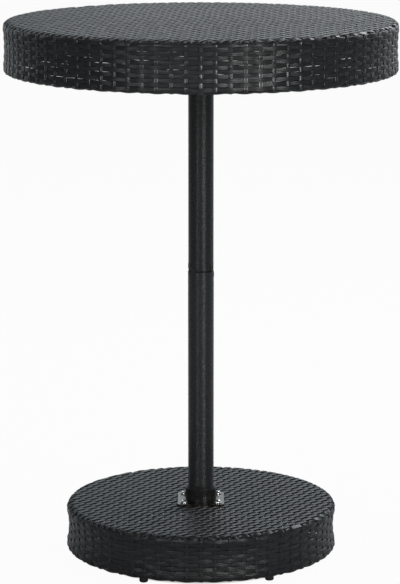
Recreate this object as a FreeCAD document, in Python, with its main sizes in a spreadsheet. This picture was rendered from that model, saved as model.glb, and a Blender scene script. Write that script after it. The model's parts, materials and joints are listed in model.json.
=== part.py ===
import FreeCAD, Part
import math
import os
import re

import Sketcher

# Round pedestal bar table in woven plastic strip over a tube frame.
# Millimetres, +Z up, origin on the floor under the pole's axis.

# Driving sizes
SIZES = {
    # Overall
    "table_height": 1060,
    "top_diameter": 763,
    "top_depth": 98,
    "base_diameter": 535,
    "base_depth": 90,
    "base_lift": 12,  # floor to the underside of the base drum
    # Weave, the same on both drums
    "weave_thickness": 3,
    "weave_gap": 0.3,  # slack between the weave and the frame
    "top_waist": 2,  # how far the side band draws in between the rings
    "base_waist": 4,
    "hem_bend": 3,  # inside radius where the band turns under the lower ring
    "top_hem": 16,  # width of the turned-in edge under the top drum
    # Tube frame
    "ring_tube": 16,
    "ring_wall": 1.2,
    "vent_diameter": 4,
    "strut_diameter": 8,
    "strut_angle": 20,
    "bar_size": 16,
    "bar_wall": 1.2,
    "bar_bite": 4,  # how far a bar's end reaches round the ring tube
    # Plates and bolts
    "mount_plate_size": 110,
    "mount_plate_thickness": 4,
    "flange_size": 92,
    "flange_thickness": 4,
    "flange_corner": 4,
    "bolt_spacing": 66,
    "bolt_diameter": 8,
    "bolt_length": 20,
    "bolt_room": 0.25,  # radial room round a bolt in its hole
    "head_diameter": 14,
    "head_height": 4.4,
    "head_flat": 6.4,  # flat on top of the domed head
    "head_dome": 7,
    "socket_flats": 5,
    "socket_depth": 2.6,
    "washer_diameter": 16,
    "washer_thickness": 1.6,
    "nut_flats": 13,
    "nut_height": 6.5,
    # Pole
    "pole_diameter": 45,
    "pole_wall": 1.5,
    "upper_wrap": 2.2,  # thickness of the strip winding
    "lower_wrap": 2.8,
    "wrap_seam": 0.5,  # each winding stops this far from the joint
    "weld_room": 14,  # bare tube left under the top flange
    "fit_room": 0.1,  # radial room of the fixed round fits
    "plug_length": 30,
    "stud_diameter": 16,
    "stud_length": 50,
    "collar_wall": 5.5,
    "collar_height": 30,
    "collar_shoulder": 7,  # height of the sloping top edge
    "collar_lip": 1.1,  # wall left at the top of the slope
    # Collar screw
    "screw_angle": -77,
    "screw_height": 9,  # above the base flange
    "screw_diameter": 4,
    "screw_head_diameter": 7.5,
    "screw_head_height": 2.6,
    "screw_reach": 12,
    # Feet
    "foot_angle": 3,
    "pad_diameter": 17,
    "pad_height": 15,
    "pad_bevel": 1.5,
    "pad_socket": 10,  # depth of the stud in the pad
    "pad_room": 1.2,  # from the pad to the turned-in edge
    "foot_stud_diameter": 6,
    "foot_stud_length": 36,
    "foot_nut_flats": 10,
    "foot_nut_height": 5,
    "nut_room": 0.7,  # from a foot's nut to the ring tube
    "lug_thickness": 5,
    "lug_width": 28,
    "lug_reach": 14,  # from the stud's axis to the lug's inner end
}

STRUT_COUNT = 6
FOOT_COUNT = 6
FULL_TURN = 360
HALF_TURN = FULL_TURN / 2
TINY = 1e-6

doc = FreeCAD.newDocument("RoundWovenTable")
sheet = doc.addObject("Spreadsheet::Sheet", "Sizes")
for row, (alias, size) in enumerate(SIZES.items(), start=1):
    sheet.set(f"A{row}", alias.replace("_", " "))
    sheet.set(f"B{row}", str(size))
    sheet.setAlias(f"B{row}", alias)
doc.recompute()

parts = []


# Expressions

def bound(expression):
    """The expression with every size written as a cell of the sheet."""
    def cell(word):
        name = word.group(0)
        return f"Sizes.{name}" if name in SIZES else name
    return re.sub(r"[a-z]\w*", cell, str(expression))


def number(expression):
    """Present value of an expression."""
    return float(sheet.evalExpression(bound(expression)))


def bind(item, **sizes):
    """Tie properties of an object to the sheet."""
    for name, expression in sizes.items():
        item.setExpression(name, bound(expression))


def place(item, x="0", y="0", z="0", turn="0"):
    """Tie an object's place, and its turn about Z in degrees, to the sheet."""
    item.setExpression("Placement.Base.x", bound(x))
    item.setExpression("Placement.Base.y", bound(y))
    item.setExpression("Placement.Base.z", bound(z))
    item.setExpression("Placement.Rotation.Angle", bound(turn))
    return item


def place_polar(item, radius, angle, z, across="0", turn="0"):
    """Place an object at a radius and angle round the pole's axis, turned with the angle."""
    x = f"({radius}) * cos({angle}) - ({across}) * sin({angle})"
    y = f"({radius}) * sin({angle}) + ({across}) * cos({angle})"
    return place(item, x, y, z, f"({angle}) + ({turn})")


def finish(item, label):
    """Name a finished sub-part and put it on the list to write."""
    item.Label = label
    parts.append(item)
    return item


# Solids

def cylinder(name, radius, height, **where):
    item = doc.addObject("Part::Cylinder", name)
    bind(item, Radius=radius, Height=height)
    return place(item, **where)


def box(name, length, width, height):
    item = doc.addObject("Part::Box", name)
    bind(item, Length=length, Width=width, Height=height)
    return item


def torus(name, ring_radius, tube_radius, z):
    item = doc.addObject("Part::Torus", name)
    bind(item, Radius1=ring_radius, Radius2=tube_radius)
    return place(item, z=z)


def hexagon(name, flats, height):
    item = doc.addObject("Part::Prism", name)
    item.Polygon = 6
    bind(item, Circumradius=f"({flats}) / 2 / cos(30)", Height=height)
    return item


def cut(name, base, *tools):
    """The base less each tool in turn."""
    for count, tool in enumerate(tools, start=1):
        item = doc.addObject("Part::Cut", f"{name}_cut_{count}")
        item.Base = base
        item.Tool = tool
        base = item
    return base


def mirrored(name, source, normal):
    item = doc.addObject("Part::Mirroring", name)
    item.Source = source
    item.Normal = normal
    return item


def group(name, members):
    item = doc.addObject("Part::Compound", name)
    item.Links = members
    return item


def four_corners(name, first):
    """A group of the first piece and its mirror images in the XZ and YZ planes."""
    beside = mirrored(f"{name}_beside", first, FreeCAD.Vector(1, 0, 0))
    row_pair = group(f"{name}_pair", [first, beside])
    behind = mirrored(f"{name}_behind", row_pair, FreeCAD.Vector(0, 1, 0))
    return group(name, [row_pair, behind])


# Sketched bodies

def pin_point(sketch, line, end, x, y):
    """Hold one end of a sketched line or arc at x, y."""
    for axis, expression, axis_line in (("X", x, -2), ("Y", y, -1)):
        distance = number(expression)
        if abs(distance) < TINY:
            sketch.addConstraint(Sketcher.Constraint("PointOnObject", line, end, axis_line))
            continue
        ends = (-1, 1, line, end) if distance > 0 else (line, end, -1, 1)
        index = sketch.addConstraint(Sketcher.Constraint(f"Distance{axis}", *ends, abs(distance)))
        sketch.setExpression(f"Constraints[{index}]", bound(f"abs({expression})"))


def arc_between(start, end, radius, side):
    """Minor arc from start to end; side 1 bends anticlockwise, -1 clockwise."""
    chord = end - start
    middle = (start + end) * 0.5
    rise = math.sqrt(max(radius ** 2 - chord.Length ** 2 / 4, 0))
    across = FreeCAD.Vector(-chord.y, chord.x, 0).normalize()
    centre = middle + across * rise * side
    first, last = (start, end) if side > 0 else (end, start)
    angles = [math.atan2(point.y - centre.y, point.x - centre.x) for point in (first, last)]
    return Part.ArcOfCircle(Part.Circle(centre, FreeCAD.Vector(0, 0, 1), radius), *angles)


def profile(body, plane, corners):
    """Closed sketch through corners (x, y) or (x, y, radius, side), an arc to the next corner."""
    sketch = body.newObject("Sketcher::SketchObject", f"{body.Name}_sketch")
    support = next(f for f in body.Origin.OriginFeatures if f.Role == plane)
    sketch.AttachmentSupport = [(support, "")]
    sketch.MapMode = "FlatFace"
    points = [FreeCAD.Vector(number(c[0]), number(c[1]), 0) for c in corners]
    starts = []
    for index, corner in enumerate(corners):
        start = points[index]
        end = points[(index + 1) % len(points)]
        if len(corner) == 2:
            line = sketch.addGeometry(Part.LineSegment(start, end))
            starts.append((line, 1, 2))
            continue
        radius, side = corner[2], corner[3]
        line = sketch.addGeometry(arc_between(start, end, number(radius), side))
        fixed = sketch.addConstraint(Sketcher.Constraint("Radius", line, number(radius)))
        sketch.setExpression(f"Constraints[{fixed}]", bound(radius))
        starts.append((line, 1, 2) if side > 0 else (line, 2, 1))
    for index, (line, first, last) in enumerate(starts):
        next_line, next_first, _ = starts[(index + 1) % len(starts)]
        sketch.addConstraint(Sketcher.Constraint("Coincident", line, last, next_line, next_first))
        pin_point(sketch, line, first, corners[index][0], corners[index][1])
    return sketch


def revolved(name, corners, z="0"):
    """Body turned about Z from corners (radius, height)."""
    body = doc.addObject("PartDesign::Body", name)
    sketch = profile(body, "XZ_Plane", corners)
    turned = body.newObject("PartDesign::Revolution", f"{name}_turned")
    turned.Profile = sketch
    turned.ReferenceAxis = (sketch, ["V_Axis"])
    turned.Angle = FULL_TURN
    body.Tip = turned
    return place(body, z=z)


def padded(name, corners, height, z):
    """Body raised from corners (x, y)."""
    body = doc.addObject("PartDesign::Body", name)
    sketch = profile(body, "XY_Plane", corners)
    raised = body.newObject("PartDesign::Pad", f"{name}_raised")
    raised.Profile = sketch
    bind(raised, Length=height)
    body.Tip = raised
    return place(body, z=z)


# Levels and radii worked out from the driving sizes

TUBE_RADIUS = "(ring_tube / 2)"
WEAVE_BEND = f"({TUBE_RADIUS} + weave_gap)"  # inside radius of the weave round a ring
RIM_BEND = f"({WEAVE_BEND} + weave_thickness)"
HEM_OUTSIDE = "(hem_bend + weave_thickness)"
BASE_TOP = "(base_lift + base_depth)"
FLANGE_TOP = f"({BASE_TOP} + flange_thickness)"
TOP_PANEL_UNDERSIDE = "(table_height - weave_thickness)"
TOP_PLATE_UNDERSIDE = f"({TOP_PANEL_UNDERSIDE} - bar_size - mount_plate_thickness)"
TOP_FLANGE_UNDERSIDE = f"({TOP_PLATE_UNDERSIDE} - flange_thickness)"
JOINT_LEVEL = f"(({FLANGE_TOP} + {TOP_FLANGE_UNDERSIDE}) / 2)"
POLE_RADIUS = "(pole_diameter / 2)"
POLE_BORE = f"({POLE_RADIUS} - pole_wall)"
LOWER_WRAP_RADIUS = f"({POLE_RADIUS} + fit_room + lower_wrap)"
UPPER_WRAP_RADIUS = f"({POLE_RADIUS} + fit_room + upper_wrap)"
BOLT_HOLE = "(bolt_diameter / 2 + bolt_room)"
BOLT_PLACE = "(bolt_spacing / 2)"


class Drum:
    """Levels and radii of one woven drum, top or base."""

    def __init__(self, name, diameter, underside, upper_side, waist):
        self.name = name
        self.radius = f"({diameter} / 2)"
        self.underside = underside
        self.upper_side = upper_side
        self.waist = waist
        self.ring_radius = f"({self.radius} - {RIM_BEND})"
        self.upper_ring_level = f"({upper_side} - {RIM_BEND})"
        self.lower_ring_level = f"({underside} + weave_thickness + {WEAVE_BEND})"
        self.strut_radius = f"({self.radius} - weave_thickness - {waist} - weave_gap - strut_diameter / 2)"
        self.upper_tube = self.tube("upper", self.upper_ring_level)
        self.lower_tube = self.tube("lower", self.lower_ring_level)

    def tube(self, which, level):
        """Filled ring, which also shapes the ends of what is welded to it."""
        return torus(f"{self.name}_{which}_tube", self.ring_radius, TUBE_RADIUS, level)


top = Drum("top", "top_diameter", "(table_height - top_depth)", "table_height", "top_waist")
base = Drum("base", "base_diameter", "base_lift", BASE_TOP, "base_waist")
FOOT_RADIUS = f"({base.ring_radius} - {TUBE_RADIUS} - nut_room - foot_nut_flats / 2)"
PAD_EDGE = f"({FOOT_RADIUS} + pad_diameter / 2)"


# Tube frame of a drum

def make_ring(drum, which, filled, level):
    """Hollow bent tube with a vent hole drilled from below."""
    bore = torus(f"{drum.name}_{which}_bore", drum.ring_radius, f"{TUBE_RADIUS} - ring_wall", level)
    vent = cylinder(f"{drum.name}_{which}_vent", "vent_diameter / 2", TUBE_RADIUS,
                    x=drum.ring_radius, z=f"{level} - {TUBE_RADIUS}")
    finish(cut(f"{drum.name}_{which}_ring", filled, bore, vent), f"{drum.name}_{which}_ring")


def make_struts(drum):
    """Round rods between the two rings: one shaped to them at both ends, and turned copies of it."""
    rod = cylinder(f"{drum.name}_strut_rod", "strut_diameter / 2",
                   f"{drum.upper_ring_level} - {drum.lower_ring_level}")
    place_polar(rod, drum.strut_radius, "strut_angle", drum.lower_ring_level, turn=HALF_TURN)
    strut = cut(f"{drum.name}_strut", rod, drum.upper_tube, drum.lower_tube)
    for index in range(STRUT_COUNT):
        label = f"{drum.name}_strut_{index + 1}"
        turned = place(group(label, [strut]), turn=index * FULL_TURN / STRUT_COUNT)
        finish(turned, label)


def make_bars(drum, level):
    """Square tubes under the panel: one right across, and one each side of it."""
    half = f"({drum.ring_radius} - bar_bite)"
    bore = "(bar_size - 2 * bar_wall)"
    across = box(f"{drum.name}_long_outside", f"2 * {half}", "bar_size", "bar_size")
    place(across, f"-{half}", "-bar_size / 2", level)
    across_bore = box(f"{drum.name}_long_bore", f"2 * {half}", bore, bore)
    place(across_bore, f"-{half}", f"-{bore} / 2", f"{level} + bar_wall")
    long_bar = cut(f"{drum.name}_long_bar", across, across_bore, drum.upper_tube)
    finish(long_bar, f"{drum.name}_long_bar")
    length = f"{half} - bar_size / 2"
    side = box(f"{drum.name}_short_outside", "bar_size", length, "bar_size")
    place(side, "-bar_size / 2", "bar_size / 2", level)
    side_bore = box(f"{drum.name}_short_bore", bore, length, bore)
    place(side_bore, f"-{bore} / 2", "bar_size / 2", f"{level} + bar_wall")
    back_bar = cut(f"{drum.name}_short_bar", side, side_bore, drum.upper_tube)
    finish(back_bar, f"{drum.name}_short_bar_back")
    front_bar = mirrored(f"{drum.name}_short_bar_front", back_bar, FreeCAD.Vector(0, 1, 0))
    finish(front_bar, f"{drum.name}_short_bar_front")


for drum in (top, base):
    make_ring(drum, "upper", drum.upper_tube, drum.upper_ring_level)
    make_ring(drum, "lower", drum.lower_tube, drum.lower_ring_level)
    make_struts(drum)
make_bars(top, f"({TOP_PANEL_UNDERSIDE} - bar_size)")
make_bars(base, f"({BASE_TOP} - weave_thickness - mount_plate_thickness - bar_size)")


# Plates, and the holes that their bolts share

def bolt_holes(name, height, z):
    first = cylinder(f"{name}_hole", BOLT_HOLE, height, x=BOLT_PLACE, y=BOLT_PLACE, z=z)
    return four_corners(f"{name}_holes", first)


def square_plate(label, size, thickness, z):
    """Flat plate with rounded corners and four bolt holes."""
    edge = f"({size} / 2)"
    inner = f"({edge} - flange_corner)"
    corners = [
        (inner, f"-{edge}", "flange_corner", 1),
        (edge, f"-{inner}"),
        (edge, inner, "flange_corner", 1),
        (inner, edge),
        (f"-{inner}", edge, "flange_corner", 1),
        (f"-{edge}", inner),
        (f"-{edge}", f"-{inner}", "flange_corner", 1),
        (f"-{inner}", f"-{edge}"),
    ]
    plate = padded(f"{label}_plate", corners, thickness, z)
    finish(cut(label, plate, bolt_holes(label, thickness, z)), label)


BASE_PLATE_UNDERSIDE = f"({BASE_TOP} - weave_thickness - mount_plate_thickness)"
square_plate("top_mount_plate", "mount_plate_size", "mount_plate_thickness", TOP_PLATE_UNDERSIDE)
square_plate("pole_top_flange", "flange_size", "flange_thickness", TOP_FLANGE_UNDERSIDE)
square_plate("base_flange", "flange_size", "flange_thickness", BASE_TOP)
square_plate("base_mount_plate", "mount_plate_size", "mount_plate_thickness", BASE_PLATE_UNDERSIDE)


# Weave panels and bands, as plain skins

def weave_panel(drum):
    """Disc turned down over the upper ring."""
    rim_inner = f"({drum.radius} - weave_thickness)"
    underside = f"({drum.upper_side} - weave_thickness)"
    return revolved(f"{drum.name}_panel", [
        ("0", underside),
        (drum.ring_radius, underside, WEAVE_BEND, -1),
        (rim_inner, drum.upper_ring_level),
        (drum.radius, drum.upper_ring_level, RIM_BEND, 1),
        (drum.ring_radius, drum.upper_side),
        ("0", drum.upper_side),
    ])


def side_band(drum, hem_edge):
    """Band from rim to hem, drawn in between the rings and turned in under the lower one."""
    inner = f"({drum.radius} - weave_thickness)"
    waist_span = f"({drum.upper_ring_level} - {drum.lower_ring_level})"
    waist_bend = f"({waist_span} ^ 2 / (8 * {drum.waist}) + {drum.waist} / 2)"
    hem_top = f"({drum.underside} + {HEM_OUTSIDE})"
    hem_start = f"({drum.radius} - {HEM_OUTSIDE})"
    hem_upper = f"({drum.underside} + weave_thickness)"
    return revolved(f"{drum.name}_band", [
        (drum.radius, drum.upper_ring_level),
        (inner, drum.upper_ring_level, waist_bend, 1),
        (inner, drum.lower_ring_level),
        (inner, hem_top, "hem_bend", -1),
        (hem_start, hem_upper),
        (hem_edge, hem_upper),
        (hem_edge, drum.underside),
        (hem_start, drum.underside, HEM_OUTSIDE, 1),
        (drum.radius, hem_top),
        (drum.radius, drum.lower_ring_level, waist_bend, -1),
    ])


finish(weave_panel(top), "top_weave_panel")
finish(side_band(top, f"({top.radius} - top_hem)"), "top_side_band")
base_holes = bolt_holes("base_panel", "weave_thickness", f"{BASE_TOP} - weave_thickness")
finish(cut("base_weave_panel", weave_panel(base), base_holes), "base_weave_panel")
finish(side_band(base, f"({PAD_EDGE} + pad_room)"), "base_side_band")


# Bolts, washers and weld nuts

def domed_bolt(name, z, down):
    """Domed socket-head bolt; the head's bearing face is at z and the shank runs down or up from it."""
    sign = "" if down else "-"
    shank_end = "-bolt_length" if down else "bolt_length"
    corners = [
        ("0", shank_end),
        ("bolt_diameter / 2", shank_end),
        ("bolt_diameter / 2", "0"),
        ("head_diameter / 2", "0", "head_dome", 1 if down else -1),
        ("head_flat / 2", f"{sign}head_height"),
        ("0", f"{sign}head_height"),
    ]
    body = revolved(f"{name}_body", corners)
    place(body, BOLT_PLACE, BOLT_PLACE, z)
    socket = hexagon(f"{name}_socket", "socket_flats", "socket_depth")
    socket_floor = f"{z} + head_height - socket_depth" if down else f"{z} - head_height"
    place(socket, BOLT_PLACE, BOLT_PLACE, socket_floor)
    return cut(name, body, socket)


def washer(name, z):
    outside = cylinder(f"{name}_outside", "washer_diameter / 2", "washer_thickness",
                       x=BOLT_PLACE, y=BOLT_PLACE, z=z)
    bore = cylinder(f"{name}_bore", BOLT_HOLE, "washer_thickness", x=BOLT_PLACE, y=BOLT_PLACE, z=z)
    return cut(name, outside, bore)


def weld_nut(name, z):
    outside = place(hexagon(f"{name}_outside", "nut_flats", "nut_height"), BOLT_PLACE, BOLT_PLACE, z)
    bore = cylinder(f"{name}_bore", "bolt_diameter / 2 + fit_room", "nut_height",
                    x=BOLT_PLACE, y=BOLT_PLACE, z=z)
    return cut(name, outside, bore)


TOP_HEAD_LEVEL = f"({TOP_FLANGE_UNDERSIDE} - washer_thickness)"
BASE_HEAD_LEVEL = f"({FLANGE_TOP} + washer_thickness)"
fasteners = {
    "top_weld_nuts": weld_nut("top_nut", f"{TOP_PLATE_UNDERSIDE} + mount_plate_thickness"),
    "top_flange_washers": washer("top_washer", TOP_HEAD_LEVEL),
    "top_flange_bolts": domed_bolt("top_bolt", TOP_HEAD_LEVEL, down=False),
    "base_weld_nuts": weld_nut("base_nut", f"{BASE_PLATE_UNDERSIDE} - nut_height"),
    "base_flange_washers": washer("base_washer", FLANGE_TOP),
    "base_flange_bolts": domed_bolt("base_bolt", BASE_HEAD_LEVEL, down=True),
}
for label, first in fasteners.items():
    finish(four_corners(label, first), label)


# Pole

def sleeve(name, outside, bore, start, end):
    """Round tube from one level to another."""
    height = f"({end}) - ({start})"
    outer = cylinder(f"{name}_outside", outside, height, z=start)
    return cut(name, outer, cylinder(f"{name}_bore", bore, height, z=start))


def radial_rod(name, radius, start, length):
    """Rod pointing outwards from the pole's axis at the collar screw's place."""
    rod = doc.addObject("Part::Cylinder", name)
    bind(rod, Radius=radius, Height=length)
    rod.Placement.Rotation = FreeCAD.Rotation(number("screw_angle"), 90, 0)
    rod.setExpression("Placement.Base.x", bound(f"({start}) * cos(screw_angle)"))
    rod.setExpression("Placement.Base.y", bound(f"({start}) * sin(screw_angle)"))
    rod.setExpression("Placement.Base.z", bound(f"{FLANGE_TOP} + screw_height"))
    return rod


WRAP_BORE = f"({POLE_RADIUS} + fit_room)"
COLLAR_BORE = f"({LOWER_WRAP_RADIUS} + fit_room)"
COLLAR_RADIUS = f"({COLLAR_BORE} + collar_wall)"
SCREW_START = f"({COLLAR_RADIUS} - screw_reach)"
screw_hole = radial_rod("screw_hole", "screw_diameter / 2 + fit_room", SCREW_START, "2 * screw_reach")

finish(sleeve("upper_pole_tube", POLE_RADIUS, POLE_BORE, JOINT_LEVEL, TOP_FLANGE_UNDERSIDE),
       "upper_pole_tube")
lower_tube = sleeve("lower_pole_tube", POLE_RADIUS, POLE_BORE, FLANGE_TOP, JOINT_LEVEL)
finish(cut("lower_pole_drilled", lower_tube, screw_hole), "lower_pole_tube")
finish(sleeve("upper_pole_wrap", UPPER_WRAP_RADIUS, WRAP_BORE, f"{JOINT_LEVEL} + wrap_seam",
              f"{TOP_FLANGE_UNDERSIDE} - weld_room"), "upper_pole_wrap")
lower_wrap = sleeve("lower_pole_wrap", LOWER_WRAP_RADIUS, WRAP_BORE, FLANGE_TOP,
                    f"{JOINT_LEVEL} - wrap_seam")
finish(cut("lower_wrap_drilled", lower_wrap, screw_hole), "lower_pole_wrap")

# The two lengths screw together on a stud held in plugs in their ends
PLUG_RADIUS = f"({POLE_BORE} - fit_room)"
STUD_BORE = "(stud_diameter / 2 + fit_room)"
finish(sleeve("upper_end_plug", PLUG_RADIUS, STUD_BORE, JOINT_LEVEL, f"{JOINT_LEVEL} + plug_length"),
       "upper_end_plug")
finish(sleeve("lower_end_plug", PLUG_RADIUS, STUD_BORE, f"{JOINT_LEVEL} - plug_length", JOINT_LEVEL),
       "lower_end_plug")
finish(cylinder("stud", "stud_diameter / 2", "stud_length", z=f"{JOINT_LEVEL} - stud_length / 2"),
       "joining_stud")

# Collar round the foot of the pole, and its screw
collar = revolved("collar", [
    (COLLAR_BORE, "0"),
    (COLLAR_RADIUS, "0"),
    (COLLAR_RADIUS, "collar_height - collar_shoulder"),
    (f"{COLLAR_BORE} + collar_lip", "collar_height"),
    (COLLAR_BORE, "collar_height"),
], FLANGE_TOP)
finish(cut("pole_foot_collar", collar, screw_hole), "pole_foot_collar")
screw = doc.addObject("Part::Fuse", "screw_whole")
screw.Base = radial_rod("screw_shank", "screw_diameter / 2", SCREW_START, "screw_reach + fit_room")
screw.Tool = radial_rod("screw_head", "screw_head_diameter / 2", f"{COLLAR_RADIUS} + fit_room",
                        "screw_head_height")
finish(screw, "collar_screw")


# Feet: lugs and nuts on the lower ring, pads and studs that screw in and out

def foot_angle(index):
    return f"foot_angle + {index * FULL_TURN / FOOT_COUNT}"


def make_lug(index):
    """Flat tab on the inside of the lower ring, drilled for the foot's stud."""
    start = f"({FOOT_RADIUS} - lug_reach)"
    tab = box(f"lug_{index}_tab", f"{PAD_EDGE} - {start}", "lug_width", "lug_thickness")
    place_polar(tab, start, foot_angle(index), "pad_height", across="-lug_width / 2")
    hole = cylinder(f"lug_{index}_hole", "foot_stud_diameter / 2 + bolt_room", "lug_thickness")
    place_polar(hole, FOOT_RADIUS, foot_angle(index), "pad_height")
    return cut(f"lug_{index}", tab, hole, base.lower_tube)


def make_foot_nut(index):
    level = "pad_height + lug_thickness"
    outside = hexagon(f"foot_nut_{index}_outside", "foot_nut_flats", "foot_nut_height")
    place_polar(outside, FOOT_RADIUS, foot_angle(index), level, turn="30")
    bore = cylinder(f"foot_nut_{index}_bore", "foot_stud_diameter / 2 + fit_room", "foot_nut_height")
    place_polar(bore, FOOT_RADIUS, foot_angle(index), level)
    return cut(f"foot_nut_{index}", outside, bore)


def make_foot(index):
    """Round pad on the floor and the threaded stud moulded into it."""
    pad = revolved(f"foot_pad_{index}_body", [
        ("0", "0"),
        ("pad_diameter / 2 - pad_bevel", "0"),
        ("pad_diameter / 2", "pad_bevel"),
        ("pad_diameter / 2", "pad_height"),
        ("foot_stud_diameter / 2", "pad_height"),
        ("foot_stud_diameter / 2", "pad_height - pad_socket"),
        ("0", "pad_height - pad_socket"),
    ])
    place_polar(pad, FOOT_RADIUS, foot_angle(index), "0")
    finish(pad, f"foot_pad_{index + 1}")
    stud = cylinder(f"foot_stud_{index}_rod", "foot_stud_diameter / 2", "foot_stud_length")
    place_polar(stud, FOOT_RADIUS, foot_angle(index), "pad_height - pad_socket")
    finish(stud, f"foot_stud_{index + 1}")


finish(group("foot_lugs", [make_lug(index) for index in range(FOOT_COUNT)]), "foot_lugs")
finish(group("foot_nuts", [make_foot_nut(index) for index in range(FOOT_COUNT)]), "foot_nuts")
for index in range(FOOT_COUNT):
    make_foot(index)


# Check every object, then write each sub-part

doc.recompute()
for item in doc.Objects:
    if "Invalid" in item.State or "Error" in item.State:
        raise RuntimeError(f"{item.Label} failed: {item.State}")
for item in parts:
    if item.Shape.isNull() or not item.Shape.isValid() or not item.Shape.Solids:
        raise RuntimeError(f"{item.Label} has no valid shape")

os.makedirs("parts", exist_ok=True)
for item in parts:
    item.Shape.exportStep(f"parts/{item.Label}.step")
print(f"{len(parts)} sub-parts written")
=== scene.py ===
import json
import math

import bpy
import numpy as np
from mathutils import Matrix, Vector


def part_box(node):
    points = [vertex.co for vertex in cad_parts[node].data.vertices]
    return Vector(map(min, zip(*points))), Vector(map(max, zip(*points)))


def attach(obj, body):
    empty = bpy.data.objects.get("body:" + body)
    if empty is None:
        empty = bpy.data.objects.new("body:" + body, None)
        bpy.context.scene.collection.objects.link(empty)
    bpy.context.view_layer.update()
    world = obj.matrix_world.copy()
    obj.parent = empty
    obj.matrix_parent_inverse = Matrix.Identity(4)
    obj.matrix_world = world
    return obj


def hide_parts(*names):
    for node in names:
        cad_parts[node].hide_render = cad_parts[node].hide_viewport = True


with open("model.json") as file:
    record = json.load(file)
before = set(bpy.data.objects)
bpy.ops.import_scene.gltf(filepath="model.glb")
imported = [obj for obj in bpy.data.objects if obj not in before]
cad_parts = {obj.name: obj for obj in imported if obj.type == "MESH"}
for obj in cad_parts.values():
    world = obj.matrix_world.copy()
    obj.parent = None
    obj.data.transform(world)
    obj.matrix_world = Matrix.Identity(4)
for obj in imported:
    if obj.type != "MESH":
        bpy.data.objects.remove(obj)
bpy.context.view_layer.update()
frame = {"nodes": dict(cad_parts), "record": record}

# Lengths are metres, written in millimetres where they are small
MM = 0.001
BODY = "table"
FULL_TURN = 2 * math.pi
QUARTER_TURN = math.pi / 2
rng = np.random.default_rng(11)

# Edges of a strip that turn by more than this stay crisp
CREASE = math.radians(45)
FLAT_CREASE = math.radians(60)
WOUND_CREASE = math.radians(12)

# Plastic strip, cut across: share of its width, share of its thickness
FLAT_SECTION = np.array([
    (-0.50, -0.20),
    (-0.41, 0.45),
    (0.41, 0.45),
    (0.50, -0.20),
    (0.46, -1.40),
    (-0.46, -1.40),
])
SIDE_SECTION = np.array([
    (-0.50, -0.25),
    (-0.45, 0.22),
    (-0.22, 0.42),
    (0.22, 0.42),
    (0.45, 0.22),
    (0.50, -0.25),
    (0.46, -0.60),
    (-0.46, -0.60),
])
STAKE_SECTION = np.array([
    (-0.50, -0.25),
    (-0.46, 0.15),
    (-0.40, 0.36),
    (-0.28, 0.45),
    (0.28, 0.45),
    (0.40, 0.36),
    (0.46, 0.15),
    (0.50, -0.25),
    (0.46, -0.60),
    (-0.46, -0.60),
])
WOUND_SECTION = np.array([
    (-0.50, 0.39),
    (-0.47, 0.45),
    (0.47, 0.45),
    (0.50, 0.39),
    (0.48, -0.45),
    (-0.48, -0.45),
])
STRIP_THICKNESS = 1.4 * MM
STRIP_WIDTH = 8.0 * MM

# Skins of the drums, as in the CAD
WEAVE_THICKNESS = 3.0 * MM
HALF_WEAVE = WEAVE_THICKNESS / 2
RIM_BEND = 11.3 * MM  # outside radius where the top weave turns down
RIM_MIDDLE = RIM_BEND - HALF_WEAVE
HEM_BEND = 6.0 * MM  # outside radius where the side band turns under
HEM_MIDDLE = HEM_BEND - HALF_WEAVE
BAND_START = math.radians(52)  # how far round the rim bend the side rows begin
TUCK_START = math.radians(40)  # where the top weave dives behind them
TUCK_END = math.radians(80)
TUCK_DEPTH = 2.0 * MM

# Flat weave on top of both drums: rows packed close, in and out of stakes that stand apart
FLAT_SINK = 0.2 * MM  # keeps its crowns near the CAD skin
FLAT_FILL = 1.02  # strip width as a share of the pitch
FLAT_BEND = 4.0  # how squarely a row steps up and down
FLAT_CROWD = 0.6  # how far its points crowd to the steps
FLAT_STRAY = 0.06 * MM
FLAT_LEAN = 0.015  # how far a strip leans, in radians
FLAT_STEPS = 6  # points along a row for each stake
FLAT_LEAST = 8  # points in the shortest strip
FLAT_STAKE = 10.0 * MM
FLAT_STAKE_RISE = 0.3 * MM
FLAT_STAKE_DROP = 0.5 * MM
FLAT_STAKE_STEPS = 4  # points along a stake for each row
SWAY_LENGTH = 0.34  # of the slow waves in which the strips run out of true
SWAY_START_X = 1.0  # where the waves begin, in radians
SWAY_START_Y = 2.0

# Side weave
SIDE_RISE = 1.2 * MM
SIDE_STEPS = 8  # points along a row for each stake
ROW_STRAY = 0.3 * MM
ROW_STRAY_WAVES = 20
ROW_ROLL = 0.09  # how far a row leans, in radians
ROW_ROLL_WAVES = 40
HEM_SHARE = 0.4  # how much the last row, drawn tight round the hem, rises and falls
SIDE_STAKE_RISE = 0.1 * MM
SIDE_STAKE_OUT = 0.35 * MM
SIDE_STAKE_STEPS = 8  # points along a stake for each row
RIM_POINTS = 12
WAIST_POINTS = 60
HEM_POINTS = 24
LEAST_SPACING = 1e-9

# Pole windings
WINDING_STEPS = 48  # points in a turn
WINDING_STRAY = 0.03 * MM
WINDING_WAVES = 3  # waves of the stray in a turn
LOOSE_STRAY = 4  # added stray of the first turns, where they lie loose
LOOSE_LEAST = 0.1
JOINT_GAP = 0.8 * MM  # kept clear by each winding where the two lengths meet
OVERLAP_LIFT = 0.6  # share of the thickness by which an end turn climbs on the next
TAIL_LIFT = 0.5
TAIL_TURN = 0.14  # share of a turn in which a tail comes down
END_POINTS = 12
END_CLIMB = 3  # an end turned down is up on the turns after a third of its length
UPPER_PITCH = 8.5 * MM
UPPER_START = 60
UPPER_END = -31
UPPER_END_LENGTH = 15 * MM
LOWER_PITCH = 8.3 * MM
LOWER_START = -160
LOWER_TAIL = 15 * MM
LOWER_LOOSE_TURNS = 2.5


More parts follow.
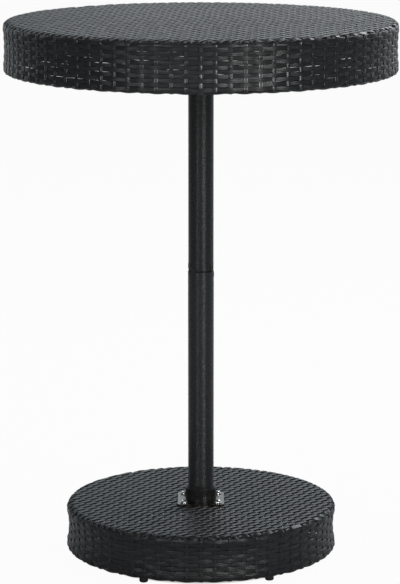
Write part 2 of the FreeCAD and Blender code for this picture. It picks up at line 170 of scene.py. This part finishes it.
class Drum:
    """Sizes of one woven drum, those of its skins read from the CAD."""

    def __init__(self, name, row_pitch, stake_pitch, turn, flat_rise, flat_share, sway,
                 side_stakes, side_rows, side_fill, waist):
        panel_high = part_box(f"{name}_weave_panel")[1]
        band_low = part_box(f"{name}_side_band")[0]
        self.name = name
        self.row_pitch = row_pitch
        self.stake_pitch = stake_pitch
        self.turn = math.radians(turn)
        self.flat_rise = flat_rise
        self.flat_share = flat_share
        self.sway = sway
        self.side_stakes = side_stakes
        self.side_rows = side_rows
        self.side_fill = side_fill
        self.waist = waist
        self.radius = panel_high.x
        self.top = panel_high.z
        self.flat_radius = self.radius - RIM_BEND
        self.rim_level = self.top - RIM_BEND
        self.underside = band_low.z
        self.hem_edge = self.hem_inside()

    def hem_inside(self):
        """Radius of the inner edge of the turned-in hem."""
        co = np.array([v.co for v in frame["nodes"][f"{self.name}_side_band"].data.vertices])
        return float(np.hypot(co[:, 0], co[:, 1]).min())


# The rows of the flat weave run aslant; turn is their angle from the X axis
top = Drum(
    "top",
    row_pitch=8.2 * MM,
    stake_pitch=24.6 * MM,
    turn=41.6,
    flat_rise=1.05 * MM,
    flat_share=0.5,
    sway=2.0 * MM,
    side_stakes=88,
    side_rows=13,
    side_fill=1.03,
    waist=2.0 * MM,
)
base = Drum(
    "base",
    row_pitch=8.13 * MM,
    stake_pitch=24.4 * MM,
    turn=45.0,
    flat_rise=1.6 * MM,
    flat_share=0.62,
    sway=0.4 * MM,
    side_stakes=60,
    side_rows=12,
    side_fill=1.16,
    waist=4.0 * MM,
)


# Meshes made of strips

def add_piece(name, strips, material, nodes, section, closed=False, crease=CREASE):
    """One piece in place of CAD nodes; a strip is rings of section points, distance along, shade."""
    points, coords, faces = [], [], []
    first = 0
    for rings, along, shade in strips:
        count, corners = rings.shape[:2]
        index = first + np.arange(count * corners).reshape(count, corners)
        here = index if closed else index[:-1]
        beyond = np.roll(index, -1, axis=0) if closed else index[1:]
        quads = np.stack([here, np.roll(here, -1, 1), np.roll(beyond, -1, 1), beyond], axis=-1)
        faces.extend(quads.reshape(-1, 4).tolist())
        if not closed:
            faces.append(index[0, ::-1].tolist())
            faces.append(index[-1].tolist())
        points.append(rings.reshape(-1, 3))
        across = np.broadcast_to(section[:, 0], (count, corners))
        length = np.broadcast_to(along[:, None], (count, corners))
        tone = np.full((count, corners), shade)
        coords.append(np.stack([across, length, tone], axis=-1).reshape(-1, 3))
        first += count * corners
    mesh = bpy.data.meshes.new(name)
    mesh.from_pydata(np.concatenate(points).tolist(), [], faces)
    mesh.attributes.new("strip", "FLOAT_VECTOR", "POINT")
    mesh.attributes["strip"].data.foreach_set("vector", np.concatenate(coords).ravel())
    mesh.shade_smooth()
    mesh.set_sharp_from_angle(angle=crease)
    mesh.materials.append(material)
    piece = bpy.data.objects.new(name, mesh)
    bpy.context.scene.collection.objects.link(piece)
    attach(piece, BODY)
    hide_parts(*nodes)


def smooth_step(x):
    x = np.clip(x, 0, 1)
    return x * x * (3 - 2 * x)


def wander(count, size, waves):
    """Smooth closed random line of so many points, about size either way."""
    turn = np.linspace(0, FULL_TURN, count, endpoint=False)
    line = np.zeros(count)
    for wave in range(1, waves + 1):
        line += rng.normal() * np.sin(wave * turn + rng.uniform(0, FULL_TURN))
    return line * size / math.sqrt(waves)


# Flat weave

def over_rim(drum, u, v, height):
    """Points in the strips' own axes, laid on the drum and tucked in behind its rim."""
    x = u * math.cos(drum.turn) - v * math.sin(drum.turn)
    y = u * math.sin(drum.turn) + v * math.cos(drum.turn)
    wave = FULL_TURN / SWAY_LENGTH
    sway_x = drum.sway * np.sin(wave * y + SWAY_START_X)
    sway_y = drum.sway * np.sin(wave * x + SWAY_START_Y)
    x = x + sway_x
    y = y + sway_y
    reach = np.hypot(x, y)
    angle = np.maximum(reach - drum.flat_radius, 0) / RIM_MIDDLE
    tucked = smooth_step((angle - TUCK_START) / (TUCK_END - TUCK_START))
    height = height - FLAT_SINK - tucked * TUCK_DEPTH
    out = np.minimum(reach, drum.flat_radius) + (RIM_MIDDLE + height) * np.sin(angle)
    z = drum.rim_level + (RIM_MIDDLE + height) * np.cos(angle)
    scale = out / np.maximum(reach, MM)
    return np.stack([x * scale, y * scale, z], axis=-1)


def flat_strips(drum, pitch, crossing_pitch, width, rise, steps, is_row):
    """Parallel strips across the drum, over one crossing strip and under the next."""
    reach = drum.flat_radius + RIM_MIDDLE * TUCK_END
    last = int((reach - width) / pitch)
    strips = []
    for number in range(-last, last + 1):
        offset = number * pitch + rng.normal() * FLAT_STRAY
        half = math.sqrt(reach ** 2 - (abs(offset) + width / 2) ** 2)
        count = max(int(2 * half / crossing_pitch * steps), FLAT_LEAST)
        phase = np.linspace(-half, half, count) / crossing_pitch
        if is_row:
            phase = phase + FLAT_CROWD * np.sin(FULL_TURN * phase) / FULL_TURN
        along = np.clip(phase * crossing_pitch, -half, half)
        wave = np.cos(math.pi * (along / crossing_pitch + number))
        if is_row:
            wave = np.tanh(FLAT_BEND * (wave - math.cos(math.pi * drum.flat_share)))
        lean = rng.normal() * FLAT_LEAN
        across = FLAT_SECTION[:, 0] * width * (-1 if is_row else 1)
        height = rise * wave[:, None] + FLAT_SECTION[:, 1] * STRIP_THICKNESS + lean * across
        side = np.broadcast_to(offset + across, height.shape)
        run = np.broadcast_to(along[:, None], height.shape)
        if is_row:
            rings = over_rim(drum, run, side, height)
        else:
            rings = over_rim(drum, side, run, height - FLAT_STAKE_DROP)
        strips.append((rings, along, rng.random()))
    return strips


def flat_rows(drum):
    width = drum.row_pitch * FLAT_FILL
    return flat_strips(drum, drum.row_pitch, drum.stake_pitch, width, drum.flat_rise, FLAT_STEPS, True)


def flat_stakes(drum):
    return flat_strips(drum, drum.stake_pitch, drum.row_pitch, FLAT_STAKE, -FLAT_STAKE_RISE,
                       FLAT_STAKE_STEPS, False)


# Side weave

class BandLine:
    """Middle line of a side band from rim to hem, read by the distance along it."""

    def __init__(self, drum):
        middle = drum.radius - HALF_WEAVE
        lower_ring = drum.underside + RIM_BEND
        rim_turn = np.linspace(BAND_START, QUARTER_TURN, RIM_POINTS, endpoint=False)
        rim_r = drum.flat_radius + RIM_MIDDLE * np.sin(rim_turn)
        rim_z = drum.rim_level + RIM_MIDDLE * np.cos(rim_turn)
        waist_z = np.linspace(drum.rim_level, lower_ring, WAIST_POINTS)
        waist_middle = (drum.rim_level + lower_ring) / 2
        waist_half = (drum.rim_level - lower_ring) / 2
        waist_share = (waist_z - waist_middle) / waist_half
        waist_r = middle - drum.waist * (1 - waist_share ** 2)
        hem_turn = np.linspace(0, QUARTER_TURN, HEM_POINTS)
        hem_r = middle - HEM_MIDDLE + HEM_MIDDLE * np.cos(hem_turn)
        hem_z = drum.underside + HEM_BEND - HEM_MIDDLE * np.sin(hem_turn)
        self.r = np.concatenate([rim_r, waist_r, hem_r, [drum.hem_edge]])
        self.z = np.concatenate([rim_z, waist_z, hem_z, [drum.underside + HALF_WEAVE]])
        step = np.hypot(np.diff(self.r), np.diff(self.z))
        self.s = np.concatenate([[0], np.cumsum(step)])
        self.length = self.s[-1]
        spacing = np.maximum(np.gradient(self.s), LEAST_SPACING)
        slope_r = np.gradient(self.r) / spacing
        slope_z = np.gradient(self.z) / spacing
        size = np.hypot(slope_r, slope_z)
        self.out_r = -slope_z / size
        self.out_z = slope_r / size

    def points(self, s, angle, height):
        """Points at distance s down the band, at an angle round the drum and a height off it."""
        radius = np.interp(s, self.s, self.r) + height * np.interp(s, self.s, self.out_r)
        z = np.interp(s, self.s, self.z) + height * np.interp(s, self.s, self.out_z)
        return np.stack([radius * np.cos(angle), radius * np.sin(angle), z], axis=-1)


def band_rows(drum, line):
    """Rows round the drum, over one stake and under the next."""
    pitch = line.length / drum.side_rows
    count = drum.side_stakes * SIDE_STEPS
    angle = np.arange(count) / count * 2 * math.pi
    wave = np.cos(angle * drum.side_stakes / 2)
    across = SIDE_SECTION[:, 0] * pitch * drum.side_fill
    rows = []
    for row in range(drum.side_rows):
        middle = (row + 0.5) * pitch + wander(count, ROW_STRAY, ROW_STRAY_WAVES)
        rise = SIDE_RISE * wave * (-1) ** row * (HEM_SHARE if row == drum.side_rows - 1 else 1)
        roll = wander(count, ROW_ROLL, ROW_ROLL_WAVES)
        s = np.clip(middle[:, None] + across, 0, line.length)
        height = rise[:, None] + SIDE_SECTION[:, 1] * STRIP_THICKNESS + roll[:, None] * across
        turn = np.broadcast_to(angle[:, None], s.shape)
        rows.append((line.points(s, turn, height), angle * drum.radius, rng.random()))
    return rows


def band_stakes(drum, line):
    """Upright strips, pressed in where a row passes over them."""
    pitch = line.length / drum.side_rows
    s = np.linspace(0, line.length, drum.side_rows * SIDE_STAKE_STEPS + 1)
    stakes = []
    for stake in range(drum.side_stakes):
        stray = rng.normal() * ROW_STRAY / drum.radius
        centre = stake / drum.side_stakes * 2 * math.pi + stray
        rise = -SIDE_STAKE_RISE * np.cos(math.pi * (s / pitch - 0.5 + stake))
        height = SIDE_STAKE_OUT + rise[:, None] + STAKE_SECTION[:, 1] * STRIP_THICKNESS
        angle = centre - STAKE_SECTION[:, 0] * STRIP_WIDTH / drum.radius
        turn = np.broadcast_to(angle, height.shape)
        place = np.broadcast_to(s[:, None], height.shape)
        stakes.append((line.points(place, turn, height), s, rng.random()))
    return stakes


# Pole windings

def wound_strip(radius, angle, z, lift, width):
    """Strip laid on the pole along a path of angles and levels."""
    tangent = np.stack([np.gradient(angle) * radius, np.gradient(z)], axis=-1)
    tangent /= np.linalg.norm(tangent, axis=1, keepdims=True)
    across = WOUND_SECTION[:, 0] * width
    turn = angle[:, None] + across * tangent[:, 1:2] / radius
    level = z[:, None] - across * tangent[:, 0:1]
    out = radius + lift[:, None] + WOUND_SECTION[:, 1] * STRIP_THICKNESS
    rings = np.stack([out * np.cos(turn), out * np.sin(turn), level], axis=-1)
    run = np.hypot(np.diff(angle) * radius, np.diff(z))
    return rings, np.concatenate([[0], np.cumsum(run)]), rng.random()


def outer_radius(node):
    """Radius for the middle of a strip whose face is level with a CAD sleeve."""
    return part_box(node)[1].x - WOUND_SECTION[:, 1].max() * STRIP_THICKNESS


def winding(node, pitch, start_angle, gap_top=0.0, gap_low=0.0, tail_rise=0.0, loose_turns=0.0):
    """Close turns down the pole, level at both ends; the first may have a tail, and lie loose."""
    low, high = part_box(node)
    first = high.z - gap_top - pitch / 2
    last = low.z + gap_low + pitch / 2
    turns = (first - last) / pitch + 2
    count = int(turns * WINDING_STEPS)
    waves = int(turns) * WINDING_WAVES
    turn = np.linspace(0, turns, count)
    loose = 1 + LOOSE_STRAY * np.exp(-(turn / max(loose_turns, LOOSE_LEAST)) ** 2)
    tail = 1 - smooth_step(turn / TAIL_TURN)
    z = np.clip(first - pitch * (turn - 1), last, first) + tail * tail_rise
    z = z + wander(count, WINDING_STRAY, waves) * loose
    ends = np.minimum(turn - 1, turns - 1 - turn)
    lift = STRIP_THICKNESS * OVERLAP_LIFT * np.clip(1 - np.abs(ends), 0, 1) * (ends > 0)
    lift = lift + wander(count, WINDING_STRAY, waves) * loose - WINDING_STRAY
    if tail_rise:
        lift = lift + tail * STRIP_THICKNESS * TAIL_LIFT
    angle = math.radians(start_angle) + turn * 2 * math.pi
    return wound_strip(outer_radius(node), angle, z, lift, pitch)


def turned_down_end(node, angle, length, width):
    """End of the winding's strip, turned down the pole over its last turns."""
    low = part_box(node)[0]
    z = np.linspace(low.z + length, low.z, END_POINTS)
    lift = STRIP_THICKNESS * smooth_step(np.linspace(0, END_CLIMB, END_POINTS))
    path = np.full(END_POINTS, math.radians(angle))
    return wound_strip(outer_radius(node), path, z, lift, width)


# Materials

STRIP_COLOURS = (0.011, 0.0115, 0.0125), (0.019, 0.0195, 0.021)
STRIP_GRAIN = (1.0, 12.0, 40.0)  # across the strip, along it, from strip to strip
STEEL_COLOURS = (0.009, 0.009, 0.010), (0.017, 0.017, 0.018)
STEEL_ROUGHNESS = 0.38, 0.52


def new_material(name):
    material = bpy.data.materials.new(name)
    material.use_nodes = True
    nodes = material.node_tree.nodes
    return material, nodes, material.node_tree.links, nodes["Principled BSDF"]


def noise(nodes, links, vector, scale, detail=2.0):
    """Noise factor over a vector, scale in repeats per unit."""
    texture = nodes.new("ShaderNodeTexNoise")
    texture.inputs["Scale"].default_value = scale
    texture.inputs["Detail"].default_value = detail
    links.new(vector, texture.inputs["Vector"])
    return texture.outputs["Fac"]


def ramp(nodes, links, factor, low, high, start=0.25, end=0.75):
    """Grey level or colour between two ends."""
    node = nodes.new("ShaderNodeValToRGB")
    node.color_ramp.elements[0].position = start
    node.color_ramp.elements[1].position = end
    for element, value in zip(node.color_ramp.elements, (low, high)):
        colour = (value, value, value) if isinstance(value, float) else value
        element.color = (*colour, 1)
    links.new(factor, node.inputs["Fac"])
    return node.outputs["Color"]


def bump(nodes, links, height, shader, strength, distance):
    node = nodes.new("ShaderNodeBump")
    node.inputs["Strength"].default_value = strength
    node.inputs["Distance"].default_value = distance
    links.new(height, node.inputs["Height"])
    links.new(node.outputs["Normal"], shader.inputs["Normal"])


def math_node(nodes, links, operation, first, second):
    """Sum, product or the like of two values; a number or a socket each."""
    node = nodes.new("ShaderNodeMath")
    node.operation = operation
    for socket, value in zip(node.inputs, (first, second)):
        if isinstance(value, (int, float)):
            socket.default_value = value
        else:
            links.new(value, socket)
    return node.outputs["Value"]


def strip_plastic(name, ribs, rib_depth, roughness, gloss=0.30):
    """Black extruded strip: fine ribs along it, a tone of its own for each strip."""
    material, nodes, links, shader = new_material(name)
    strip = nodes.new("ShaderNodeAttribute")
    strip.attribute_name = "strip"
    parts = nodes.new("ShaderNodeSeparateXYZ")
    links.new(strip.outputs["Vector"], parts.inputs["Vector"])
    grain = nodes.new("ShaderNodeMapping")
    grain.inputs["Scale"].default_value = STRIP_GRAIN
    links.new(strip.outputs["Vector"], grain.inputs["Vector"])
    streaks = noise(nodes, links, grain.outputs["Vector"], scale=9.0, detail=3.0)
    total = math_node(nodes, links, "ADD", streaks, parts.outputs["Z"])
    mean = math_node(nodes, links, "MULTIPLY", total, 0.5)
    links.new(ramp(nodes, links, mean, *STRIP_COLOURS), shader.inputs["Base Color"])
    links.new(ramp(nodes, links, streaks, *roughness), shader.inputs["Roughness"])
    turn = math_node(nodes, links, "MULTIPLY", parts.outputs["X"], FULL_TURN * ribs)
    wave = math_node(nodes, links, "COSINE", turn, 0.0)
    bump(nodes, links, wave, shader, strength=1.0, distance=rib_depth)
    shader.inputs["Specular IOR Level"].default_value = gloss
    return material


def object_vector(nodes):
    return nodes.new("ShaderNodeTexCoord").outputs["Object"]


def black_steel(name, gloss):
    """Black powder coat with a fine orange peel."""
    material, nodes, links, shader = new_material(name)
    vector = object_vector(nodes)
    peel = noise(nodes, links, vector, scale=900.0)
    mottle = noise(nodes, links, vector, scale=40.0, detail=4.0)
    links.new(ramp(nodes, links, mottle, *STEEL_COLOURS), shader.inputs["Base Color"])
    links.new(ramp(nodes, links, mottle, *STEEL_ROUGHNESS), shader.inputs["Roughness"])
    bump(nodes, links, peel, shader, strength=0.3, distance=0.1 * MM)
    shader.inputs["Specular IOR Level"].default_value = gloss
    return material


def plated(name, dull, bright, rough, smooth):
    """Zinc plate: cloudy spangle and fine scratches."""
    material, nodes, links, shader = new_material(name)
    vector = object_vector(nodes)
    cloud = noise(nodes, links, vector, scale=90.0, detail=5.0)
    scratch = noise(nodes, links, vector, scale=1400.0)
    links.new(ramp(nodes, links, cloud, dull, bright), shader.inputs["Base Color"])
    links.new(ramp(nodes, links, cloud, rough, smooth), shader.inputs["Roughness"])
    bump(nodes, links, scratch, shader, strength=0.15, distance=0.05 * MM)
    shader.inputs["Metallic"].default_value = 1.0
    return material


def moulded(name, greys, roughness, gloss=0.5):
    """Black moulded plastic with a faint grain."""
    material, nodes, links, shader = new_material(name)
    vector = object_vector(nodes)
    grain = noise(nodes, links, vector, scale=1600.0)
    cloud = noise(nodes, links, vector, scale=60.0, detail=3.0)
    links.new(ramp(nodes, links, cloud, *greys), shader.inputs["Base Color"])
    links.new(ramp(nodes, links, cloud, *roughness), shader.inputs["Roughness"])
    bump(nodes, links, grain, shader, strength=0.1, distance=0.05 * MM)
    shader.inputs["Specular IOR Level"].default_value = gloss
    return material


row_strip = strip_plastic("woven_strip", ribs=3, rib_depth=0.08 * MM, roughness=(0.26, 0.40))
zinc_plate = plated(
    "zinc_plate",
    dull=(0.095, 0.079, 0.072),
    bright=(0.140, 0.119, 0.109),
    rough=0.30,
    smooth=0.20,
)
bright_fasteners = plated(
    "bright_fasteners",
    dull=(0.50, 0.50, 0.49),
    bright=(0.66, 0.66, 0.65),
    rough=0.28,
    smooth=0.18,
)
finishes = {
    "woven_strip": row_strip,
    "black_steel": black_steel("black_steel", gloss=0.5),
    "zinc_plate": zinc_plate,
    "bright_fasteners": bright_fasteners,
    "collar_plastic": moulded("collar_plastic", (0.008, 0.014), (0.24, 0.34), gloss=0.3),
    "foot_plastic": moulded("foot_plastic", (0.008, 0.014), (0.40, 0.52)),
}
for part in frame["record"]["subparts"]:
    shown = frame["nodes"][part["node"]].data.materials
    shown.clear()
    shown.append(finishes[part["material_slot"]])
frame["nodes"]["collar_screw"].data.materials[0] = zinc_plate

# The tubes are dull, so that nothing glints between the turns round them
undercoat = black_steel("undercoat", gloss=0.05)
for node in ("upper_pole_tube", "lower_pole_tube"):
    frame["nodes"][node].data.materials[0] = undercoat


# Weave in place of the plain skins

stake_strip = strip_plastic("stake_strip", ribs=2, rib_depth=0.15 * MM, roughness=(0.15, 0.22), gloss=0.6)
for drum, stake_finish in ((top, stake_strip), (base, row_strip)):
    panel = f"{drum.name}_weave_panel"
    band = f"{drum.name}_side_band"
    line = BandLine(drum)
    add_piece(f"{drum.name}_flat_rows", flat_rows(drum), row_strip, [panel], FLAT_SECTION,
              crease=FLAT_CREASE)
    add_piece(f"{drum.name}_flat_stakes", flat_stakes(drum), row_strip, [panel], FLAT_SECTION)
    add_piece(f"{drum.name}_band_rows", band_rows(drum, line), row_strip, [band], SIDE_SECTION,
              closed=True)
    add_piece(f"{drum.name}_band_stakes", band_stakes(drum, line), stake_finish, [band], STAKE_SECTION)

# The upper winding ends turned down, and the lower one starts with a tail over the joint
pole_strip = strip_plastic("wound_strip", ribs=6, rib_depth=0.06 * MM, roughness=(0.24, 0.32))
upper_turns = [
    winding("upper_pole_wrap", UPPER_PITCH, UPPER_START, gap_low=JOINT_GAP),
    turned_down_end("upper_pole_wrap", UPPER_END, UPPER_END_LENGTH, STRIP_WIDTH),
]
lower_turns = [
    winding("lower_pole_wrap", LOWER_PITCH, LOWER_START, gap_top=JOINT_GAP, tail_rise=LOWER_TAIL,
            loose_turns=LOWER_LOOSE_TURNS),
]
for name, turns in (("upper", upper_turns), ("lower", lower_turns)):
    add_piece(f"{name}_winding", turns, pole_strip, [f"{name}_pole_wrap"], WOUND_SECTION,
              crease=WOUND_CREASE)


# Studio

FLOOR_HALF = 30.0
FLOOR_GREY = (0.5, 0.5, 0.5, 1)
FLOOR_ROUGHNESS = 0.9
FLOOR_WHITE = 0.96  # share of the floor's look that is plain white
FLOOR_BEHIND = 3.0, 15.0  # distances behind the object between which reflections see it turn white
SHADOW_INSET = 52 * MM, 34 * MM  # inside the base's edge, where the shadow under it begins to show
PLAIN_WHITE = (1, 1, 1, 1)
ROOM_FRONT = (0.135, 0.14, 0.145)
ROOM_BACK = (0.51, 0.62, 0.67)
ROOM_WAY = (0.25, 1.0, -1.0)  # direction in which the room grows pale
ROOM_SPAN = -0.35, 0.65  # how far that way it begins and ends to do so
ROOM_WHITE = 0.95, 1.25  # how far that way reflections see it turn white

# Name, place, target, width, height, power in watts
SOFTBOXES = [
    ("overhead", (0, 0.5, 3.3), (0, 0, 0.6), 2.0, 2.0, 34),
    ("right_back", (2.0, 2.6, 3.2), (0, 0, 0.5), 2.0, 2.0, 72),
    ("left_back", (-2.2, 1.8, 3.0), (0, 0, 1.0), 1.2, 1.2, 14),
    ("back", (1.0, 3.2, 1.65), (0, 0, 1.0), 3.4, 0.8, 9),
    ("front", (0, -5.9, 1.3), (0, 0, 1.1), 7.0, 0.55, 28),
    ("left_front", (-2.0, -3.5, 1.6), (0, 0, 0.5), 0.5, 2.4, 24),
    ("right_front", (1.9, -3.5, 1.6), (0, 0, 0.5), 0.6, 2.6, 65),
]

# Camera fitted to the photograph's outline: metres, degrees and pixels
CAMERA_DISTANCE = 5.252
CAMERA_HEIGHT = 1.577
CAMERA_PITCH = 11.325
CAMERA_YAW = 0.02
FOCAL_PIXELS = 2725.8
FRAME_PIXELS = 584
SENSOR = 36.0


def seen_white(nodes, links, behind):
    """Share of plain white: all for the camera; for mirrored and passing rays, what lies behind."""
    path = nodes.new("ShaderNodeLightPath")
    glossy = path.outputs["Is Glossy Ray"]
    bent = math_node(nodes, links, "MAXIMUM", glossy, path.outputs["Is Transmission Ray"])
    bent = math_node(nodes, links, "MULTIPLY", bent, behind)
    return math_node(nodes, links, "MAXIMUM", path.outputs["Is Camera Ray"], bent)


def map_range(nodes, links, value, low, high, top_value=1.0):
    node = nodes.new("ShaderNodeMapRange")
    node.inputs["From Min"].default_value = low
    node.inputs["From Max"].default_value = high
    node.inputs["To Max"].default_value = top_value
    links.new(value, node.inputs["Value"])
    return node.outputs["Result"]


def make_floor():
    """Pale floor, white to the camera except deep in the shadow under the base."""
    mesh = bpy.data.meshes.new("floor")
    near, far = -FLOOR_HALF, FLOOR_HALF
    corners = [(near, near, 0), (far, near, 0), (far, far, 0), (near, far, 0)]
    mesh.from_pydata(corners, [], [(0, 1, 2, 3)])
    floor = bpy.data.objects.new("floor", mesh)
    bpy.context.scene.collection.objects.link(floor)
    material, nodes, links, shader = new_material("floor_white")
    shader.inputs["Base Color"].default_value = FLOOR_GREY
    shader.inputs["Roughness"].default_value = FLOOR_ROUGHNESS
    place = object_vector(nodes)
    reach = nodes.new("ShaderNodeVectorMath")
    reach.operation = "LENGTH"
    links.new(place, reach.inputs[0])
    axes = nodes.new("ShaderNodeSeparateXYZ")
    links.new(place, axes.inputs["Vector"])
    behind = map_range(nodes, links, axes.outputs["Y"], *FLOOR_BEHIND)
    dark, light = (base.radius - inset for inset in SHADOW_INSET)
    clear = map_range(nodes, links, reach.outputs["Value"], dark, light, FLOOR_WHITE)
    share = math_node(nodes, links, "MULTIPLY", seen_white(nodes, links, behind), clear)
    glow = nodes.new("ShaderNodeEmission")
    glow.inputs["Color"].default_value = PLAIN_WHITE
    mix = nodes.new("ShaderNodeMixShader")
    links.new(share, mix.inputs["Fac"])
    links.new(shader.outputs["BSDF"], mix.inputs[1])
    links.new(glow.outputs["Emission"], mix.inputs[2])
    links.new(mix.outputs["Shader"], nodes["Material Output"].inputs["Surface"])
    mesh.materials.append(material)


def make_world():
    """White to the camera; to everything else a room, pale low behind the object and dim elsewhere."""
    world = bpy.data.worlds.new("studio")
    world.use_nodes = True
    nodes, links = world.node_tree.nodes, world.node_tree.links
    room = nodes["Background"]
    along = nodes.new("ShaderNodeVectorMath")
    along.operation = "DOT_PRODUCT"
    along.inputs[1].default_value = ROOM_WAY
    links.new(nodes.new("ShaderNodeTexCoord").outputs["Generated"], along.inputs[0])
    depth = along.outputs["Value"]
    paler = map_range(nodes, links, depth, *ROOM_SPAN)
    links.new(ramp(nodes, links, paler, ROOM_FRONT, ROOM_BACK, 0.0, 1.0), room.inputs["Color"])
    white = nodes.new("ShaderNodeBackground")
    white.inputs["Color"].default_value = PLAIN_WHITE
    mix = nodes.new("ShaderNodeMixShader")
    behind = map_range(nodes, links, depth, *ROOM_WHITE)
    links.new(seen_white(nodes, links, behind), mix.inputs["Fac"])
    links.new(room.outputs["Background"], mix.inputs[1])
    links.new(white.outputs["Background"], mix.inputs[2])
    links.new(mix.outputs["Shader"], nodes["World Output"].inputs["Surface"])
    bpy.context.scene.world = world


def softbox(name, place, target, width, height, power):
    light = bpy.data.lights.new(name, "AREA")
    light.shape = "RECTANGLE"
    light.size = width
    light.size_y = height
    light.energy = power
    lamp = bpy.data.objects.new(name, light)
    bpy.context.scene.collection.objects.link(lamp)
    lamp.location = place
    aim = np.array(target) - np.array(place)
    tilt = math.acos(-aim[2] / np.linalg.norm(aim))
    lamp.rotation_euler = (tilt, 0, math.atan2(aim[1], aim[0]) - QUARTER_TURN)


def make_camera():
    data = bpy.data.cameras.new("camera")
    data.sensor_width = SENSOR
    data.lens = FOCAL_PIXELS * SENSOR / FRAME_PIXELS
    camera = bpy.data.objects.new("camera", data)
    bpy.context.scene.collection.objects.link(camera)
    camera.location = (0, -CAMERA_DISTANCE, CAMERA_HEIGHT)
    camera.rotation_euler = (math.radians(90 - CAMERA_PITCH), 0, math.radians(CAMERA_YAW))
    bpy.context.scene.camera = camera


make_floor()
make_world()
for values in SOFTBOXES:
    softbox(*values)
make_camera()
bpy.context.scene.view_settings.view_transform = "Standard"
